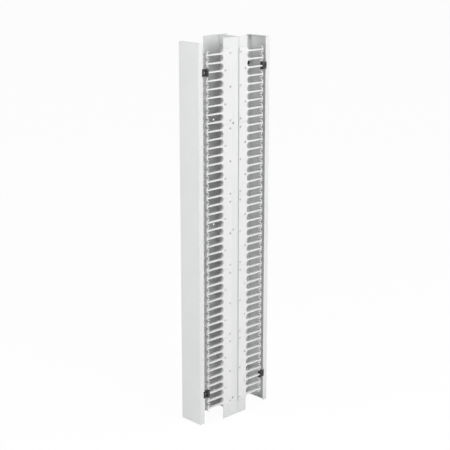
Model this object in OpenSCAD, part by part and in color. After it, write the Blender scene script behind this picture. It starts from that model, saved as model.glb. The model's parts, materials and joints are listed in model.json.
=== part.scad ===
// Double-sided vertical cable manager: a white steel spine of two back-to-back channels,
// moulded finger strips on all four of its edges, and a clip-on hinged door front and rear.
// X runs across the width, Y from the front door to the rear door, Z up from the floor.

/* [Rack units] */
// Height of one rack unit, which is the pitch of the fingers
unit_h = 44.45; // [42:0.05:47]
// Rack units, and fingers, in one moulded strip
units_per_strip = 9; // [7:2:9]
// Moulded strips in each of the four columns
strips_per_column = 5; // [3:1:5]
// Bare spine below the lowest strip
bottom_margin = 75; // [60:0.5:110]
// Bare spine above the highest strip
top_margin = 58.35; // [45:0.05:110]

/* [Steel spine] */
// Width across the outsides of the side flanges
spine_w = 152.4; // [130:0.1:200]
// Thickness of the spine's sheet
sheet_t = 2; // [1.5:0.1:2.5]
// Outside radius of the spine's bends
bend_r = 4; // [3.5:0.1:6]
// Depth of the front channel, from the joint to its free edges
front_flange_l = 115.5; // [105:0.5:117]
// Depth of the rear channel, from the joint to its free edges
rear_flange_l = 62; // [58:0.5:66]
// Width of the cable ports through the web
port_w = 76; // [50:1:84]
// Height of the cable ports
port_h = 230; // [120:1:250]
// Corner radius of the cable ports
port_r = 20; // [8:1:25]
// Length of the slots for cable ties
tie_slot_l = 28; // [16:1:40]
// Height of the slots for cable ties
tie_slot_h = 6; // [4:0.5:9]

/* [Rack mounting holes] */
// Diameter of the holes for the rack bolts
rack_hole_d = 11.1; // [8:0.1:13]
// Distance of the rack holes behind the front strips
rack_hole_gap = 18; // [10:0.5:30]
// Height of the lowest rack bolt
low_hole_z = 106; // [90:1:160]
// Height of the middle rack bolt
mid_hole_z = 1092; // [900:1:1300]
// Height of the highest rack bolt
high_hole_z = 1678; // [1500:1:1900]

/* [Channel bolts] */
// Thread diameter of the bolts that join the two channels
bolt_d = 6; // [5:0.5:8]
// Distance of the bolts either side of the middle
bolt_x = 52; // [48:0.5:58]

/* [Finger strips] */
// Width of the strip that lies on the flange, from its inner edge to the finger roots
strip_w = 60; // [56:0.5:64]
// Thickness of the strip on the flange
strip_t = 6; // [5:0.1:9]
// Thickness of the strip's outer skin, over the pockets in its back
strip_skin = 2.4; // [2:0.1:3]
// Width of the seat that the front channel's flange gives the front strips
front_seat = 55.5; // [53:0.5:57]
// How far the rear strips reach in front of the joint
joint_lap = 2; // [0:0.5:4]
// Gap between two strips in a column
strip_gap = 0.5; // [0.3:0.1:1.5]
// Length of a finger from its root to its tip
finger_l = 122; // [100:1:140]
// Height of a finger at its root
finger_h = 8.5; // [7:0.1:11]
// Height of a finger just behind its head
finger_end_h = 7; // [6:0.1:9]
// Width of a finger across the manager
finger_w = 16; // [14:0.5:20]
// Radius of the curved head at the tip
head_r = 21; // [20:0.5:22]
// Thickness of the head
head_t = 4.5; // [3.5:0.1:5.5]
// Angle of the head either side of the finger
head_angle = 66; // [50:1:68]

/* [Strip screws] */
// Thread diameter of the strip screws
screw_d = 4.8; // [4:0.1:5.5]
// Diameter of the screw heads
screw_head_d = 9.5; // [8.5:0.1:10.5]
// Height of the screw heads
screw_head_h = 2.4; // [2:0.1:3]
// Length of the slots in the cross of a screw head
screw_slot_l = 5; // [4:0.1:6]
// Width of those slots
screw_slot_w = 1.1; // [0.8:0.1:1.4]
// Diameter of the recess round each head
recess_d = 12.5; // [12:0.1:15]
// Depth of the recess round each head
recess_h = 2.6; // [2:0.1:3]
// Distance of the first screws from the strip's inner edge
screw_edge = 9.5; // [9:0.1:12]
// Distance from the first screws to the screws near the roots
screw_step = 37; // [30:0.5:38]

/* [Doors] */
// How far the doors' sides stand inside the fingers' outer faces
door_in = 7.5; // [6.5:0.1:9]
// Depth of a door
door_d = 32; // [28:0.5:40]
// Thickness of the door's sheet
door_t = 1.5; // [1.2:0.1:2]
// Outside radius of the door's bends
door_bend_r = 3; // [2.5:0.1:5]
// Width of the hem folded inside each side flange
hem_w = 7; // [5:0.5:8]
// Depth of the flanges at the door's two ends
door_end_d = 20; // [12:0.5:24]
// Gap between a door's end and the spine's end
door_end_gap = 16; // [8:0.5:30]
// Gap between the front door's flanges and the finger tips
front_tip_gap = 18; // [16:0.5:24]
// Gap between the rear door's flanges and the finger tips
rear_tip_gap = 26; // [20:0.5:30]

/* [Hinges] */
// Which finger from each end of a column carries a hinge block
hinge_finger = 3; // [2:1:4]
// Diameter of the hinge pins
pin_d = 5; // [4:0.1:5.5]
// Distance of the pins behind the free edges of the door's flanges
pin_behind = 2.5; // [1.5:0.1:5]
// Distance of the pins inside the fingers' outer faces
pin_in = 12.5; // [12:0.1:14]
// Running clearance between a pin and its clip, on the radius
pin_clearance = 0.08; // [0.05:0.01:0.1]
// Height of a clip's jaw
jaw_h = 14; // [10:0.5:18]
// Outside radius of a clip's jaw
jaw_r = 6; // [5.2:0.1:6.8]
// Gap above and below a clip's jaw
jaw_gap = 0.3; // [0.2:0.1:0.6]
// Height of each lug on a hinge block
lug_h = 12; // [8:0.5:14]
// Radius of the lugs
lug_r = 7; // [5:0.1:7.4]
// Length of a hinge block's body along the finger
block_l = 16; // [14:0.5:20]
// Distance from a pin to the body of its hinge block
block_reach = 15.5; // [15:0.1:17]
// Depth of the pocket that takes the finger's tenon
tenon_l = 8; // [6:0.5:9]
// Height of the finger's tenon
tenon_h = 5; // [4:0.1:5.5]
// Thread diameter of the screws that hold the hinge blocks
block_screw_d = 3; // [2.5:0.1:3.5]
// Diameter of their heads
block_screw_head_d = 5.8; // [5:0.1:6.2]
// Height of their heads
block_screw_head_h = 2.2; // [1.6:0.1:2.6]
// Diameter of the recess round a head
block_recess_d = 6.5; // [6.4:0.1:7.5]
// Depth of that recess
block_recess_h = 2.5; // [2.4:0.1:4]
// Thickness of the clip's pad on the door's side flange
clip_pad = 3; // [2.5:0.1:3.5]
// Height of the clip's pad
clip_pad_h = 34; // [33:0.5:40]
// Distance from the door's face to the clip's near end
clip_start = 11; // [9:0.5:12]
// Clearance between the lugs and the notch cut for them in the door's side flange
notch_gap = 2.5; // [1.5:0.1:4]
// Corner radius of the notch
notch_r = 2; // [1:0.1:2.5]
// Diameter of the rivets that hold the clips
rivet_d = 4; // [3.2:0.1:4.8]

/* [Hidden] */
$fn = 48;
WHITE = [0.93, 0.93, 0.92];
MOULDED = [0.95, 0.95, 0.94];
BLACK = [0.09, 0.09, 0.09];
STEEL = [0.72, 0.73, 0.74];
cut = 1;                                   // how far a cutting tool runs past a face
fit = 0.15;                                // clearance round screws and tenons
seat_gap = 0.3;                            // clearance of the fingers from the flange edges

strip_h = units_per_strip * unit_h;
column_h = strips_per_column * strip_h;
spine_h = bottom_margin + column_h + top_margin;
half_w = spine_w / 2 + strip_t;            // outer faces of the fingers
door_w = 2 * (half_w - door_in);
strip_space = front_flange_l - front_seat - joint_lap;    // bare stretch between the strips
total_d = 2 * (door_d + finger_l + strip_w) + front_tip_gap + rear_tip_gap + strip_space;
front_y = -total_d / 2;                    // outer face of the front door
rear_y = total_d / 2;
front_edge_y = front_y + door_d + front_tip_gap + finger_l + strip_w;
rear_edge_y = front_edge_y + strip_space;
joint_y = rear_edge_y + joint_lap;
tip_u = strip_w + finger_l;                // finger tip, from the strip's inner edge
head_l = head_r * (1 - cos(head_angle)) + head_t;
door_h = spine_h - 2 * door_end_gap;
pin_x = half_w - pin_in;
pin_back = door_d + pin_behind;            // pins, from the door's outer face
row_z = [for (k = [0 : strips_per_column]) bottom_margin + k * strip_h];
rivet_z = (jaw_h + clip_pad_h) / 4;        // rivets, above and below a clip's arm
hinge_low_z = bottom_margin + (hinge_finger - 0.5) * unit_h;
hinge_high_z = bottom_margin + column_h - (hinge_finger - 0.5) * unit_h;
rack_hole_zs = [low_hole_z, mid_hole_z, high_hole_z];
rack_hole_y = front_edge_y + rack_hole_gap;
bolt_head_h = 4;
nut_h = 5;
notch_l = lug_r + notch_gap - pin_behind;  // depth of the notch, from the door's free edge
pad_end = door_d - max(hem_w, notch_l) - 1;       // end of a clip's pad, from the door's face
rivet_back = (clip_start + pad_end) / 2;

SIDES = ["left", "right"];
ENDS = ["front", "rear"];
LEVELS = ["low", "high"];
COLUMNS = [for (e = ENDS, s = SIDES) [e, s]];

function strip_node(c, i) = str(c[0], "_", c[1], "_finger_strip_", i);
function screw_node(c) = str(c[0], "_", c[1], "_strip_screws");
function corner_node(piece, c, l) = str(c[0], "_", c[1], "_", l, "_", piece);
function end_node(e, piece) = str(e, "_", piece);

// ---------- placing ----------

// Everything in a column is modelled at the rear left, with Y away from the strip's edge,
// and mirrored to its own column from there.
module in_column(c) {
    mirror([c[1] == "right" ? 1 : 0, 0, 0])
        mirror([0, c[0] == "front" ? 1 : 0, 0])
            children();
}

// The strip's own frame: X out along the fingers, Y up, Z inwards from the outer faces.
module strip_frame(c, z) {
    edge = c[0] == "front" ? -front_edge_y : rear_edge_y;
    in_column(c) translate([-half_w, edge, z]) rotate([90, 0, 90]) children();
}

// A hinge's own frame: the pin's axis is Z, +X points outwards and -Y at the door's face.
module hinge_frame(e, s, z) {
    mirror([s == "left" ? 1 : 0, 0, 0])
        mirror([0, e == "rear" ? 1 : 0, 0])
            translate([pin_x, front_y + pin_back, z])
                children();
}

body_h = jaw_h + 2 * (jaw_gap + lug_h);    // height of a hinge block
function hinge_z(l) = l == "low" ? hinge_low_z : hinge_high_z;

// Shoulder of a finger that a hinge block ends, from the strip's inner edge
function block_u(e) = tip_u + (e == "front" ? front_tip_gap : rear_tip_gap) - pin_behind - block_reach - block_l;

// ---------- spine ----------

// A U of bent sheet in plan: the web lies along Y = 0 and the flanges run to Y = l.
module u_section(w, l, t, r) {
    difference() {
        round_ended(w, l, r);
        translate([0, t]) round_ended(w - 2 * t, l, r - t);
    }
}

module round_ended(w, l, r) {
    translate([-w / 2, r]) square([w, l - r]);
    translate([r - w / 2, 0]) square([w - 2 * r, 2 * r]);
    for (x = [r - w / 2, w / 2 - r]) translate([x, r]) circle(r);
}

module round_rect(w, h, r) {
    square([w - 2 * r, h], center = true);
    if (h > 2 * r) square([w, h - 2 * r], center = true);
    for (x = [r - w / 2, w / 2 - r], y = [r - h / 2, h / 2 - r]) translate([x, y]) circle(r);
}

// Ports, tie slots and bolt holes, all cut through one web
module web_cuts() {
    translate([0, joint_y, 0]) rotate([90, 0, 0]) linear_extrude(2 * (sheet_t + cut), center = true) {
        for (k = [0 : strips_per_column - 1])
            translate([0, row_z[k] + strip_h / 2]) round_rect(port_w, port_h, port_r);
        for (k = [1 : strips_per_column - 1], s = [-1, 1], z = [-1, 1])
            translate([s * tie_slot_l, row_z[k] + z * 5 * tie_slot_h])
                round_rect(tie_slot_l, tie_slot_h, tie_slot_h / 2);
        for (z = row_z, s = [-1, 1]) translate([s * bolt_x, z]) circle(d = bolt_d + 2 * fit);
    }
}

// Threaded holes for the strip screws, through the flange under each column
module strip_holes(e) {
    for (s = SIDES, k = [0 : strips_per_column - 1])
        strip_frame([e, s], row_z[k]) at_screws() cylinder(d = screw_d, h = strip_t + sheet_t + cut, $fn = 16);
}

module front_channel() color(WHITE) {
    difference() {
        translate([0, joint_y, 0]) mirror([0, 1, 0])
            linear_extrude(spine_h) u_section(spine_w, front_flange_l, sheet_t, bend_r);
        web_cuts();
        strip_holes("front");
        for (z = rack_hole_zs) translate([0, rack_hole_y, z])
            rotate([0, 90, 0]) cylinder(d = rack_hole_d, h = spine_w + 2 * cut, center = true);
    }
}

module rear_channel() color(WHITE) {
    difference() {
        translate([0, joint_y, 0])
            linear_extrude(spine_h) u_section(spine_w, rear_flange_l, sheet_t, bend_r);
        web_cuts();
        strip_holes("rear");
    }
}

// Both sets of fasteners sit on the same rows of holes.
module at_channel_bolts() {
    for (z = row_z, s = [-1, 1]) translate([s * bolt_x, joint_y, z]) rotate([-90, 0, 0]) children();
}

module channel_bolts() color(STEEL) {
    at_channel_bolts() {
        translate([0, 0, -sheet_t - bolt_head_h]) cylinder(d1 = 1.6 * bolt_d, d2 = 2.2 * bolt_d, h = bolt_head_h);
        translate([0, 0, -sheet_t]) cylinder(d = bolt_d, h = 2 * sheet_t + nut_h + 3);
    }
}

module channel_nuts() color(STEEL) {
    at_channel_bolts() translate([0, 0, sheet_t]) difference() {
        union() {
            cylinder(d = 2.4 * bolt_d, h = 1.2);
            cylinder(d = 1.9 * bolt_d, h = nut_h, $fn = 6);
        }
        translate([0, 0, -cut]) cylinder(d = bolt_d, h = nut_h + 2 * cut);
    }
}

// ---------- finger strips ----------

function has_screw(k) = k % 2 == 1;
function screw_u(k) = k % 4 == 1 ? screw_edge : screw_edge + screw_step;

// Screws sit on every second finger, by turns near the strip's inner edge and near the roots.
module at_screws() {
    for (k = [1 : units_per_strip]) if (has_screw(k))
        translate([screw_u(k), (k - 0.5) * unit_h, 0]) children();
}

// Space between two fingers, round at the root and opening out towards the tips
module finger_slot() {
    root = (unit_h - finger_h) / 2;
    end = (unit_h - finger_end_h) / 2;
    translate([strip_w + root, 0]) circle(root);
    polygon([
        [strip_w + root, -root], [tip_u, -end], [tip_u, end], [strip_w + root, root]
    ]);
}

module comb_outline() {
    difference() {
        translate([0, strip_gap / 2]) square([tip_u - head_t / 2, strip_h - strip_gap]);
        for (k = [0 : units_per_strip]) translate([0, k * unit_h]) finger_slot();
    }
}

// The head is an arc swept back from the tip, with round and slightly thicker ends.
head_bead = 0.6;
module finger_head() {
    reach = 2 * head_r;
    middle = head_r - head_t / 2;
    translate([tip_u - head_r, 0]) {
        intersection() {
            difference() { circle(head_r, $fn = 96); circle(head_r - head_t, $fn = 96); }
            polygon([
                [0, 0], [reach * cos(head_angle), -reach * sin(head_angle)], [reach, -reach],
                [reach, reach], [reach * cos(head_angle), reach * sin(head_angle)]
            ]);
        }
        for (s = [-1, 1]) rotate(s * head_angle) translate([middle, 0]) circle(d = head_t + head_bead);
    }
}

// One strip seen from the side. The finger under a hinge block is cut short, and keeps a tenon.
module strip_outline(cut_finger, cut_u) {
    difference() {
        comb_outline();
        if (cut_finger > 0) translate([cut_u, (cut_finger - 1) * unit_h]) square([tip_u, unit_h]);
    }
    for (k = [1 : units_per_strip]) if (k != cut_finger) translate([0, (k - 0.5) * unit_h]) finger_head();
}

// Pockets that core out the back of the strip, one behind each finger
module back_pockets(step_u) {
    wall = 1.8;
    pocket_l = min(step_u, strip_w) - 2 * wall - 1;
    for (k = [1 : units_per_strip]) translate([0, (k - 0.5) * unit_h]) difference() {
        translate([wall + 1, wall - unit_h / 2]) square([pocket_l, unit_h - 2 * wall]);
        if (has_screw(k)) translate([screw_u(k), 0]) circle(recess_d / 2 + wall);
    }
}

// Groove that cores out each finger from the inside
module finger_cores(cut_finger) {
    root_u = strip_w + (unit_h - finger_h) / 2;
    for (k = [1 : units_per_strip]) if (k != cut_finger)
        translate([root_u, (k - 0.5) * unit_h - 1.5, strip_skin + 2])
            cube([tip_u - head_l - root_u, 3, finger_w]);
}

module finger_strip(c, i) color(MOULDED) {
    step_u = c[0] == "front" ? front_flange_l - (joint_y - front_edge_y) + seat_gap
                             : rear_flange_l + joint_lap + seat_gap;
    cut_finger = i == 1 ? hinge_finger
               : i == strips_per_column ? units_per_strip + 1 - hinge_finger : 0;
    cut_u = block_u(c[0]);
    strip_frame(c, row_z[i - 1]) {
        difference() {
            union() {
                linear_extrude(strip_t) strip_outline(cut_finger, cut_u);
                linear_extrude(finger_w) intersection() {
                    strip_outline(cut_finger, cut_u);
                    translate([step_u, 0]) square([tip_u, strip_h]);
                }
            }
            translate([0, 0, strip_skin]) linear_extrude(strip_t) back_pockets(step_u);
            finger_cores(cut_finger);
            at_screws() {
                translate([0, 0, -cut]) cylinder(d = recess_d, h = recess_h + cut);
                cylinder(d = screw_d + 2 * fit, h = strip_t + cut);
            }
        }
        if (cut_finger > 0) translate([cut_u, (cut_finger - 0.5) * unit_h, 0]) tenon();
    }
}

// Reduced end of a cut finger, with the pilot hole for its block screw
module tenon() {
    difference() {
        translate([-cut, -tenon_h / 2, tenon_inset])
            cube([tenon_l + cut - fit, tenon_h, finger_w - 2 * tenon_inset]);
        translate([-2 * cut, 0, finger_w / 2]) rotate([0, 90, 0]) cylinder(d = block_screw_d, h = tenon_l + 3 * cut);
    }
}
tenon_inset = 2.5;

module strip_screws(c) color(STEEL) {
    for (k = [0 : strips_per_column - 1]) strip_frame(c, row_z[k]) at_screws() {
        difference() {
            translate([0, 0, recess_h - screw_head_h]) cylinder(d1 = screw_head_d - 1.6, d2 = screw_head_d, h = 0.8);
            translate([0, 0, recess_h - screw_head_h]) cube([screw_slot_l, screw_slot_w, 1], center = true);
            translate([0, 0, recess_h - screw_head_h]) cube([screw_slot_w, screw_slot_l, 1], center = true);
        }
        translate([0, 0, recess_h - screw_head_h + 0.8]) cylinder(d = screw_head_d, h = screw_head_h - 0.8);
        translate([0, 0, recess_h]) cylinder(d = screw_d, h = strip_t + sheet_t + 1.5 - recess_h);
    }
}

// ---------- hinges ----------

// Black block on the end of a cut finger: a body, and two lugs that hold the pin
module hinge_block(c, l) color(BLACK) {
    y0 = block_reach;
    outer = pin_in;                        // the fingers' outer face, in this frame
    hinge_frame(c[0], c[1], hinge_z(l)) difference() {
        union() {
            difference() {
                translate([outer - finger_w / 2, y0 + block_l / 2, -body_h / 2])
                    linear_extrude(body_h) round_rect(finger_w, block_l, 2);
                translate([outer - finger_w + tenon_inset - fit, y0 + block_l - tenon_l, -tenon_h / 2 - fit])
                    cube([finger_w - 2 * tenon_inset + 2 * fit, tenon_l + cut, tenon_h + 2 * fit]);
            }
            for (z = [-body_h / 2, body_h / 2 - lug_h]) translate([0, 0, z]) {
                cylinder(r = lug_r, h = lug_h);
                translate([-lug_r, 0, 0]) cube([2 * lug_r, y0 + 2, lug_h]);
            }
        }
        translate([0, 0, -body_h / 2 - cut]) cylinder(d = pin_d, h = body_h + 2 * cut);
        translate([outer - finger_w / 2, y0, 0]) rotate([-90, 0, 0]) {
            translate([0, 0, -cut]) cylinder(d = block_recess_d, h = block_recess_h + cut);
            cylinder(d = block_screw_d + 2 * fit, h = block_l);
        }
    }
}

module at_hinges(e) {
    for (s = SIDES, l = LEVELS) hinge_frame(e, s, hinge_z(l)) children();
}

module block_screws(e) color(STEEL) {
    at_hinges(e) translate([pin_in - finger_w / 2, block_reach, 0]) rotate([-90, 0, 0]) {
        translate([0, 0, block_recess_h - block_screw_head_h]) cylinder(d = block_screw_head_d, h = block_screw_head_h);
        translate([0, 0, block_recess_h]) cylinder(d = block_screw_d, h = block_l - 4);
    }
}

module hinge_pins(e) color(STEEL) {
    at_hinges(e) {
        translate([0, 0, -body_h / 2]) cylinder(d = pin_d, h = body_h);
        translate([0, 0, body_h / 2]) cylinder(d1 = pin_d + 2.5, d2 = pin_d + 1, h = 1.2);
    }
}

// Black clip inside the door: a pad riveted to the side flange, and an arm with an open jaw
module door_clip(c, l) color(BLACK) {
    side_x = pin_in - door_in - door_t;    // inside of the side flange, in this frame
    hem_x = side_x - door_t - 0.1;
    start_y = clip_start - pin_back;
    hinge_frame(c[0], c[1], hinge_z(l)) difference() {
        union() {
            translate([side_x - clip_pad, (start_y + pad_end - pin_back) / 2, 0]) rotate([0, 90, 0])
                linear_extrude(clip_pad) round_rect(clip_pad_h, pad_end - clip_start, 3);
            linear_extrude(jaw_h, center = true) {
                translate([-jaw_r, start_y + 2]) square([hem_x + jaw_r, -start_y - 3]);
                translate([2 - jaw_r, start_y]) square([side_x - clip_pad / 2 + jaw_r - 2, 4]);
                translate([2 - jaw_r, start_y + 2]) circle(2);
                circle(jaw_r);
            }
        }
        cylinder(r = pin_d / 2 + pin_clearance, h = jaw_h + 2 * cut, center = true);
        linear_extrude(jaw_h + 2 * cut, center = true) jaw_mouth();
        for (z = [-1, 1]) translate([side_x - clip_pad - cut, rivet_back - pin_back, z * rivet_z])
            rotate([0, 90, 0]) cylinder(d = rivet_d, h = clip_pad + 2 * cut);
    }
}

// Mouth of the jaw: it lets the pin out towards the fingers, and flares at its lips.
module jaw_mouth() {
    half = pin_d / 2 + pin_clearance;
    polygon([
        [-half, 0], [-half, pin_d / 3], [-half - 1, jaw_r + cut],
        [half + 1, jaw_r + cut], [half, pin_d / 3], [half, 0]
    ]);
}

// ---------- doors ----------

// A pan of bent sheet: side flanges with folded hems, and a shallow flange at each end
module door(e) color(WHITE) {
    rotate(e == "rear" ? 180 : 0) translate([0, front_y, door_end_gap]) {
        difference() {
            linear_extrude(door_h) {
                u_section(door_w, door_d - door_t, door_t, door_bend_r);
                for (s = [-1, 1]) translate([s * (door_w / 2 - door_t), door_d - door_t]) {
                    circle(door_t);
                    translate([-s * door_t / 2, (door_t - hem_w) / 2])
                        square([door_t, hem_w - door_t], center = true);
                }
            }
            for (s = [-1, 1], l = LEVELS) translate([s * door_w / 2, door_d, hinge_z(l) - door_end_gap])
                rotate([0, 90, 0]) linear_extrude(8 * door_t, center = true)
                    round_rect(body_h + 2 * notch_gap, 2 * notch_l, notch_r);
            for (s = [-1, 1], l = LEVELS, z = [-1, 1])
                translate([s * door_w / 2, rivet_back, hinge_z(l) - door_end_gap + z * rivet_z])
                    rotate([0, 90, 0]) cylinder(d = rivet_d, h = 4 * door_t, center = true);
        }
        for (z = [0, door_h - door_t]) translate([0, door_t, z]) linear_extrude(door_t)
            translate([door_t - door_w / 2, 0]) square([door_w - 2 * door_t, door_end_d - door_t]);
    }
}

module clip_rivets(e) color(WHITE) {
    out_x = pin_in - door_in;
    at_hinges(e) for (z = [-1, 1]) translate([out_x, rivet_back - pin_back, z * rivet_z]) rotate([0, 90, 0]) {
        cylinder(d1 = 2 * rivet_d, d2 = rivet_d, h = 1);
        translate([0, 0, -door_t - clip_pad]) cylinder(d = rivet_d, h = door_t + clip_pad);
        translate([0, 0, -door_t - clip_pad - 1.4]) cylinder(d1 = rivet_d + 1, d2 = rivet_d + 2, h = 1.4);
    }
}

// ---------- drawing ----------

front_channel();
rear_channel();
channel_bolts();
channel_nuts();
for (c = COLUMNS, i = [1 : strips_per_column])
    finger_strip(c, i);
for (c = COLUMNS) strip_screws(c);
for (c = COLUMNS, l = LEVELS) {
    hinge_block(c, l);
    door_clip(c, l);
}
for (e = ENDS) {
    hinge_pins(e);
    block_screws(e);
    door(e);
    clip_rivets(e);
}
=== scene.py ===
import json
import math

import bpy
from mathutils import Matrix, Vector

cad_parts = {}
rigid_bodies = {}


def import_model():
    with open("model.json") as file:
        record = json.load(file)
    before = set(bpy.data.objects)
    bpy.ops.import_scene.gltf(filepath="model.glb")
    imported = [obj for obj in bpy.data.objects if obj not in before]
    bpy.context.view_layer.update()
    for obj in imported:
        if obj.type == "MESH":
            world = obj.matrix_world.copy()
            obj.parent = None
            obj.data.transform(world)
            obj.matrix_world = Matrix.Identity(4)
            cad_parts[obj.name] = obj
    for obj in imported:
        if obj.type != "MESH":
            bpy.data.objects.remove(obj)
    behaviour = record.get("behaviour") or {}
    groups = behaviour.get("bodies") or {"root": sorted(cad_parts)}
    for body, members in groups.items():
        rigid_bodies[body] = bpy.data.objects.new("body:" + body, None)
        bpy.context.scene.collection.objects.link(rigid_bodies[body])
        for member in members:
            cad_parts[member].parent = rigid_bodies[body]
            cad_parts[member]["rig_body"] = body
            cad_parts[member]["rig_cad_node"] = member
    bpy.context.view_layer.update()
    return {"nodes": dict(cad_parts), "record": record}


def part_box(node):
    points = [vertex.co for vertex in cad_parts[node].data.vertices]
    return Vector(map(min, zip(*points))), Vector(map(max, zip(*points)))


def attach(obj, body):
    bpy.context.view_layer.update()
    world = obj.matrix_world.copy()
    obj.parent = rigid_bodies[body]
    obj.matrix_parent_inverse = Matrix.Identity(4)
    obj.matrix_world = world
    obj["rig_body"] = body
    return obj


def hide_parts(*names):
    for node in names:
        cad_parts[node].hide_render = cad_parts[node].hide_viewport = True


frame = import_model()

nodes = frame["nodes"]
print("frame loaded:", len(nodes), "nodes")


# ---------- materials ----------

def startMaterial(name):
    material = bpy.data.materials.new(name)
    material.use_nodes = True
    tree = material.node_tree
    tree.nodes.clear()
    shader = tree.nodes.new("ShaderNodeBsdfPrincipled")
    output = tree.nodes.new("ShaderNodeOutputMaterial")
    coordinates = tree.nodes.new("ShaderNodeTexCoord")
    tree.links.new(shader.outputs["BSDF"], output.inputs["Surface"])
    return material, tree, shader, coordinates


def noiseOn(tree, coordinates, scale, detail):
    noise = tree.nodes.new("ShaderNodeTexNoise")
    noise.inputs["Scale"].default_value = scale
    noise.inputs["Detail"].default_value = detail
    tree.links.new(coordinates.outputs["Object"], noise.inputs["Vector"])
    return noise


rampEnds = (0.3, 0.7)  # the middle of the noise, where most of it lies


def rampBetween(tree, source, low, high):
    ramp = tree.nodes.new("ShaderNodeValToRGB")
    for element, position, colour in zip(ramp.color_ramp.elements, rampEnds, (low, high)):
        element.position = position
        element.color = (*colour, 1)
    tree.links.new(source.outputs["Fac"], ramp.inputs["Fac"])
    return ramp


def rangeBetween(tree, source, low, high):
    span = tree.nodes.new("ShaderNodeMapRange")
    span.inputs["To Min"].default_value = low
    span.inputs["To Max"].default_value = high
    tree.links.new(source.outputs["Fac"], span.inputs["Value"])
    return span


def bumpFrom(tree, shader, source, strength, distance):
    bump = tree.nodes.new("ShaderNodeBump")
    bump.inputs["Strength"].default_value = strength
    bump.inputs["Distance"].default_value = distance
    tree.links.new(source.outputs["Fac"], bump.inputs["Height"])
    tree.links.new(bump.outputs["Normal"], shader.inputs["Normal"])


def makeFinish(name, look):
    material, tree, shader, coordinates = startMaterial(name)
    shader.inputs["Metallic"].default_value = look.get("metallic", 0)
    cloud = noiseOn(tree, coordinates, look["cloudScale"], 3.0)
    colour = rampBetween(tree, cloud, look["darkColour"], look["lightColour"])
    tree.links.new(colour.outputs["Color"], shader.inputs["Base Color"])
    grain = noiseOn(tree, coordinates, look["grainScale"], 2.0)
    rough = rangeBetween(tree, grain, look["roughLow"], look["roughHigh"])
    tree.links.new(rough.outputs["Result"], shader.inputs["Roughness"])
    bumpFrom(tree, shader, grain, look["bump"], look["bumpDepth"])
    return material


finishes = {
    "white_powder_coat": makeFinish("whitePowderCoat", {
        "darkColour": (0.70, 0.705, 0.71), "lightColour": (0.73, 0.735, 0.735), "cloudScale": 6,
        "grainScale": 900, "roughLow": 0.42, "roughHigh": 0.58, "bump": 0.12, "bumpDepth": 0.0003}),
    "white_moulding": makeFinish("whiteMoulding", {
        "darkColour": (0.73, 0.732, 0.73), "lightColour": (0.76, 0.76, 0.755), "cloudScale": 14,
        "grainScale": 600, "roughLow": 0.34, "roughHigh": 0.46, "bump": 0.05, "bumpDepth": 0.0002}),
    "black_nylon": makeFinish("blackNylon", {
        "darkColour": (0.012, 0.012, 0.013), "lightColour": (0.024, 0.024, 0.025), "cloudScale": 40,
        "grainScale": 1500, "roughLow": 0.42, "roughHigh": 0.6, "bump": 0.15, "bumpDepth": 0.0002}),
    "zinc_steel": makeFinish("zincSteel", {
        "metallic": 1.0,
        "darkColour": (0.52, 0.53, 0.55), "lightColour": (0.66, 0.67, 0.68), "cloudScale": 120,
        "grainScale": 900, "roughLow": 0.24, "roughHigh": 0.4, "bump": 0.08, "bumpDepth": 0.0001}),
}
slotOf = {part["node"]: part["material_slot"] for part in frame["record"]["subparts"]}

for name, node in nodes.items():
    node.data.materials.clear()
    node.data.materials.append(finishes[slotOf[name]])
print("finishes made and assigned")


# ---------- moulded and folded pieces, with their real edges ----------

bodies = frame["record"]["behaviour"]["bodies"]
bodyOf = {name: body for body, members in bodies.items() for name in members}
merging = {"distance": 0.000002, "flatAngle": 0.6}  # metres and degrees


def copyNode(name, pieceName):
    # a merged copy of the CAD node, with flat faces made whole again, ready to be shaped
    bpy.ops.object.select_all(action="DESELECT")
    node = nodes[name]
    node.select_set(True)
    bpy.context.view_layer.objects.active = node
    bpy.ops.object.duplicate()
    piece = bpy.context.object
    piece.name = pieceName
    piece.parent = None
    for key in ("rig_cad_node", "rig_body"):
        del piece[key]
    bpy.ops.mesh.customdata_custom_splitnormals_clear()
    bpy.ops.object.mode_set(mode="EDIT")
    bpy.ops.mesh.select_all(action="SELECT")
    bpy.ops.mesh.remove_doubles(threshold=merging["distance"])
    bpy.ops.mesh.dissolve_limited(angle_limit=math.radians(merging["flatAngle"]))
    bpy.ops.mesh.select_all(action="DESELECT")
    bpy.ops.object.mode_set(mode="OBJECT")
    return piece


def selectSharpEdges(piece, keepEdge, sharpAngle):
    # picks the edges whose two faces meet at more than sharpAngle, where keepEdge says yes
    mesh = piece.data
    normals = {}
    for face in mesh.polygons:
        for key in face.edge_keys:
            normals.setdefault(key, []).append(face.normal.copy())
    for edge in mesh.edges:
        pair = normals.get(edge.key, [])
        first, second = (mesh.vertices[i].co for i in edge.vertices)
        sharp = len(pair) == 2 and pair[0].angle(pair[1], 0) > math.radians(sharpAngle)
        edge.select = bool(sharp and keepEdge(first, second))


def bevelPicked(piece, width, segments):
    bpy.ops.object.select_all(action="DESELECT")
    piece.select_set(True)
    bpy.context.view_layer.objects.active = piece
    bpy.ops.object.mode_set(mode="EDIT")
    bpy.ops.mesh.select_mode(type="EDGE")
    bpy.ops.mesh.bevel(offset=width, offset_type="OFFSET", segments=segments, profile=0.5,
                       affect="EDGES", clamp_overlap=True)
    bpy.ops.mesh.select_all(action="SELECT")
    bpy.ops.mesh.remove_doubles(threshold=merging["distance"])
    bpy.ops.mesh.dissolve_degenerate(threshold=merging["distance"])
    bpy.ops.object.mode_set(mode="OBJECT")


smoothAngle = 40


def settle(piece, name):
    bpy.ops.object.select_all(action="DESELECT")
    piece.select_set(True)
    bpy.context.view_layer.objects.active = piece
    bpy.ops.object.shade_smooth_by_angle(angle=math.radians(smoothAngle))
    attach(piece, bodyOf[name])
    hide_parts(name)


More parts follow.
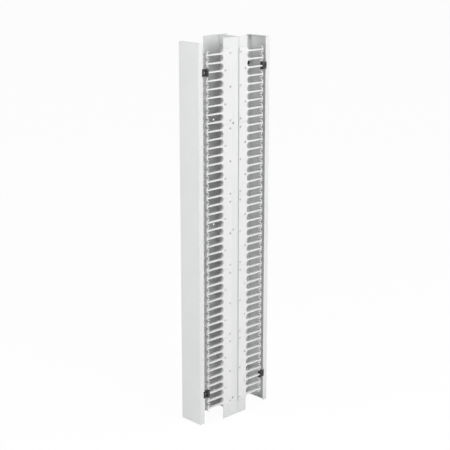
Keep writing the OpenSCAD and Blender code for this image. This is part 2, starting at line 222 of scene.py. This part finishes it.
# recessReach is how far a screw's recess reaches from its middle; its rim stays sharp
fingerStrip = {"edgeRadius": 0.0016, "edgeSegments": 3, "sharpAngle": 30,
               "recessReach": 0.0068, "onFace": 0.00005}


def roundStrip(name, pieceName):
    piece = copyNode(name, pieceName)
    side = 1 if "right" in name else -1
    low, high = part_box(name)
    inner = low.x if side > 0 else high.x
    outer = high.x if side > 0 else low.x
    screwNode = name.split("_finger_strip")[0] + "_strip_screws"
    screws = screwPlaces[screwNode]

    def onFingerRim(first, second):
        near = fingerStrip["onFace"]
        onOuter = abs(first.x - outer) < near and abs(second.x - outer) < near
        onInner = abs(first.x - inner) < near and abs(second.x - inner) < near
        middle = (first + second) / 2
        nearScrew = any((middle.y - y) ** 2 + (middle.z - z) ** 2 < fingerStrip["recessReach"] ** 2
                        for y, z in screws)
        return (onOuter or onInner) and not nearScrew

    selectSharpEdges(piece, onFingerRim, fingerStrip["sharpAngle"])
    bevelPicked(piece, fingerStrip["edgeRadius"], fingerStrip["edgeSegments"])
    settle(piece, name)


screwRows = {"rimDepth": 0.00002, "rowStep": 0.022225}  # rowStep is half a rack unit


def findScrews(name):
    # middles of the screw heads, as (y, z): their rims reach furthest from the middle plane
    places = [vertex.co for vertex in nodes[name].data.vertices]
    limit = max(abs(place.x) for place in places)
    rims = [place for place in places if abs(abs(place.x) - limit) < screwRows["rimDepth"]]
    middle = (min(place.y for place in rims) + max(place.y for place in rims)) / 2
    groups = {}
    for place in rims:
        row = round(place.z / screwRows["rowStep"])
        groups.setdefault((row, place.y > middle), []).append(place)
    return [(sum(p.y for p in g) / len(g), sum(p.z for p in g) / len(g)) for g in groups.values()]


screwPlaces = {name: findScrews(name) for name in nodes if name.endswith("strip_screws")}
stripNames = sorted(name for name in nodes if "finger_strip" in name)
for name in stripNames:
    end, side, *others, number = name.split("_")
    roundStrip(name, f"{end}{side.capitalize()}FingerStrip{number}")
print("finger strips rounded:", len(stripNames))

# shortest is the length under which an edge keeps its corner
hingeBlock = {"edgeRadius": 0.0007, "edgeSegments": 2, "shortest": 0.0012}
doorClip = {"edgeRadius": 0.0005, "edgeSegments": 2, "shortest": 0.0012}
doorPanel = {"edgeRadius": 0.0003, "edgeSegments": 2, "shortest": 0.012}
channelSheet = {"edgeRadius": 0.0004, "edgeSegments": 2, "shortest": 0.012}
squareAngle = 50  # softer bends than this are round already


def softenPiece(name, pieceName, look):
    piece = copyNode(name, pieceName)
    selectSharpEdges(piece, lambda first, second: (first - second).length > look["shortest"],
                     squareAngle)
    bevelPicked(piece, look["edgeRadius"], look["edgeSegments"])
    settle(piece, name)


looks = (("_hinge_block", hingeBlock), ("_door_clip", doorClip),
         ("_door", doorPanel), ("_channel", channelSheet))
softened = 0
for name in sorted(nodes):
    for ending, look in looks:
        if name.endswith(ending):
            first, *others = name.split("_")
            softenPiece(name, first + "".join(word.capitalize() for word in others), look)
            softened += 1
print("blocks, clips, doors and channels softened:", softened)


# ---------- floor, light, camera ----------

# shadowShare is how much of the floor's own shade, and so of the shadow, is seen
room = {"floorSize": 120, "floorColour": (0.97, 0.97, 0.97, 1), "shadowShare": 0.05,
        "worldGrey": 0.45}


def makeFloor():
    bpy.ops.object.select_all(action="DESELECT")
    bpy.ops.mesh.primitive_plane_add(size=room["floorSize"], location=(0, 0, 0))
    floor = bpy.context.object
    floor.name = "studioFloor"
    material = bpy.data.materials.new("floorWhite")
    material.use_nodes = True
    tree = material.node_tree
    tree.nodes.clear()
    output = tree.nodes.new("ShaderNodeOutputMaterial")
    plain = tree.nodes.new("ShaderNodeBsdfDiffuse")
    plain.inputs["Color"].default_value = room["floorColour"]
    glow = tree.nodes.new("ShaderNodeEmission")
    glow.inputs["Color"].default_value = (1, 1, 1, 1)
    glow.inputs["Strength"].default_value = 1
    rays = tree.nodes.new("ShaderNodeLightPath")
    share = tree.nodes.new("ShaderNodeMath")
    share.operation = "MULTIPLY"
    share.inputs[1].default_value = 1 - room["shadowShare"]
    mix = tree.nodes.new("ShaderNodeMixShader")
    tree.links.new(rays.outputs["Is Camera Ray"], share.inputs[0])
    tree.links.new(share.outputs["Value"], mix.inputs["Fac"])
    tree.links.new(plain.outputs["BSDF"], mix.inputs[1])
    tree.links.new(glow.outputs["Emission"], mix.inputs[2])
    tree.links.new(mix.outputs["Shader"], output.inputs["Surface"])
    floor.data.materials.append(material)


def makeWorld():
    world = bpy.data.worlds.new("studioWorld")
    bpy.context.scene.world = world
    world.use_nodes = True
    tree = world.node_tree
    tree.nodes.clear()
    output = tree.nodes.new("ShaderNodeOutputWorld")
    fill = tree.nodes.new("ShaderNodeBackground")
    fill.inputs["Color"].default_value = (room["worldGrey"],) * 3 + (1,)
    seen = tree.nodes.new("ShaderNodeBackground")
    seen.inputs["Color"].default_value = (1, 1, 1, 1)
    rays = tree.nodes.new("ShaderNodeLightPath")
    either = tree.nodes.new("ShaderNodeMath")
    either.operation = "MAXIMUM"
    mix = tree.nodes.new("ShaderNodeMixShader")
    tree.links.new(rays.outputs["Is Camera Ray"], either.inputs[0])
    tree.links.new(rays.outputs["Is Glossy Ray"], either.inputs[1])
    tree.links.new(either.outputs["Value"], mix.inputs["Fac"])
    tree.links.new(fill.outputs["Background"], mix.inputs[1])
    tree.links.new(seen.outputs["Background"], mix.inputs[2])
    tree.links.new(mix.outputs["Shader"], output.inputs["Surface"])


lampAim = (0, 0, 1.0)
lamps = {
    "sideLamp": {"spot": (4.8, -0.6, 4.2), "size": 2.6, "power": 142},
    "frontLamp": {"spot": (-1.2, -5.2, 3.5), "size": 3.0, "power": 125},
    "rearLamp": {"spot": (3.4, 4.0, 3.0), "size": 2.5, "power": 62},
}


def addLamp(name, lampLook):
    light = bpy.data.lights.new(name, "AREA")
    light.size = lampLook["size"]
    light.energy = lampLook["power"]
    lamp = bpy.data.objects.new(name, light)
    bpy.context.scene.collection.objects.link(lamp)
    lamp.location = lampLook["spot"]
    towards = Vector(lampAim) - Vector(lampLook["spot"])
    lamp.rotation_euler = towards.to_track_quat("-Z", "Y").to_euler()


makeFloor()
makeWorld()
for name, lampLook in lamps.items():
    addLamp(name, lampLook)

camera = {"spot": (4.490, -4.412, 2.790), "heading": (-0.7134, 0.7008), "pitch": 15.034,
          "lens": 94.85, "sensor": 36}


def makeCamera():
    down = math.radians(camera["pitch"])
    across, ahead = camera["heading"]
    look = Vector((across * math.cos(down), ahead * math.cos(down), -math.sin(down)))
    eye = bpy.data.cameras.new("camera")
    eye.lens = camera["lens"]
    eye.sensor_width = camera["sensor"]
    seat = bpy.data.objects.new("camera", eye)
    bpy.context.scene.collection.objects.link(seat)
    seat.location = camera["spot"]
    seat.rotation_euler = look.to_track_quat("-Z", "Y").to_euler()
    bpy.context.scene.camera = seat


makeCamera()
bpy.context.scene.view_settings.view_transform = "Standard"
print("floor, lamps and camera placed")
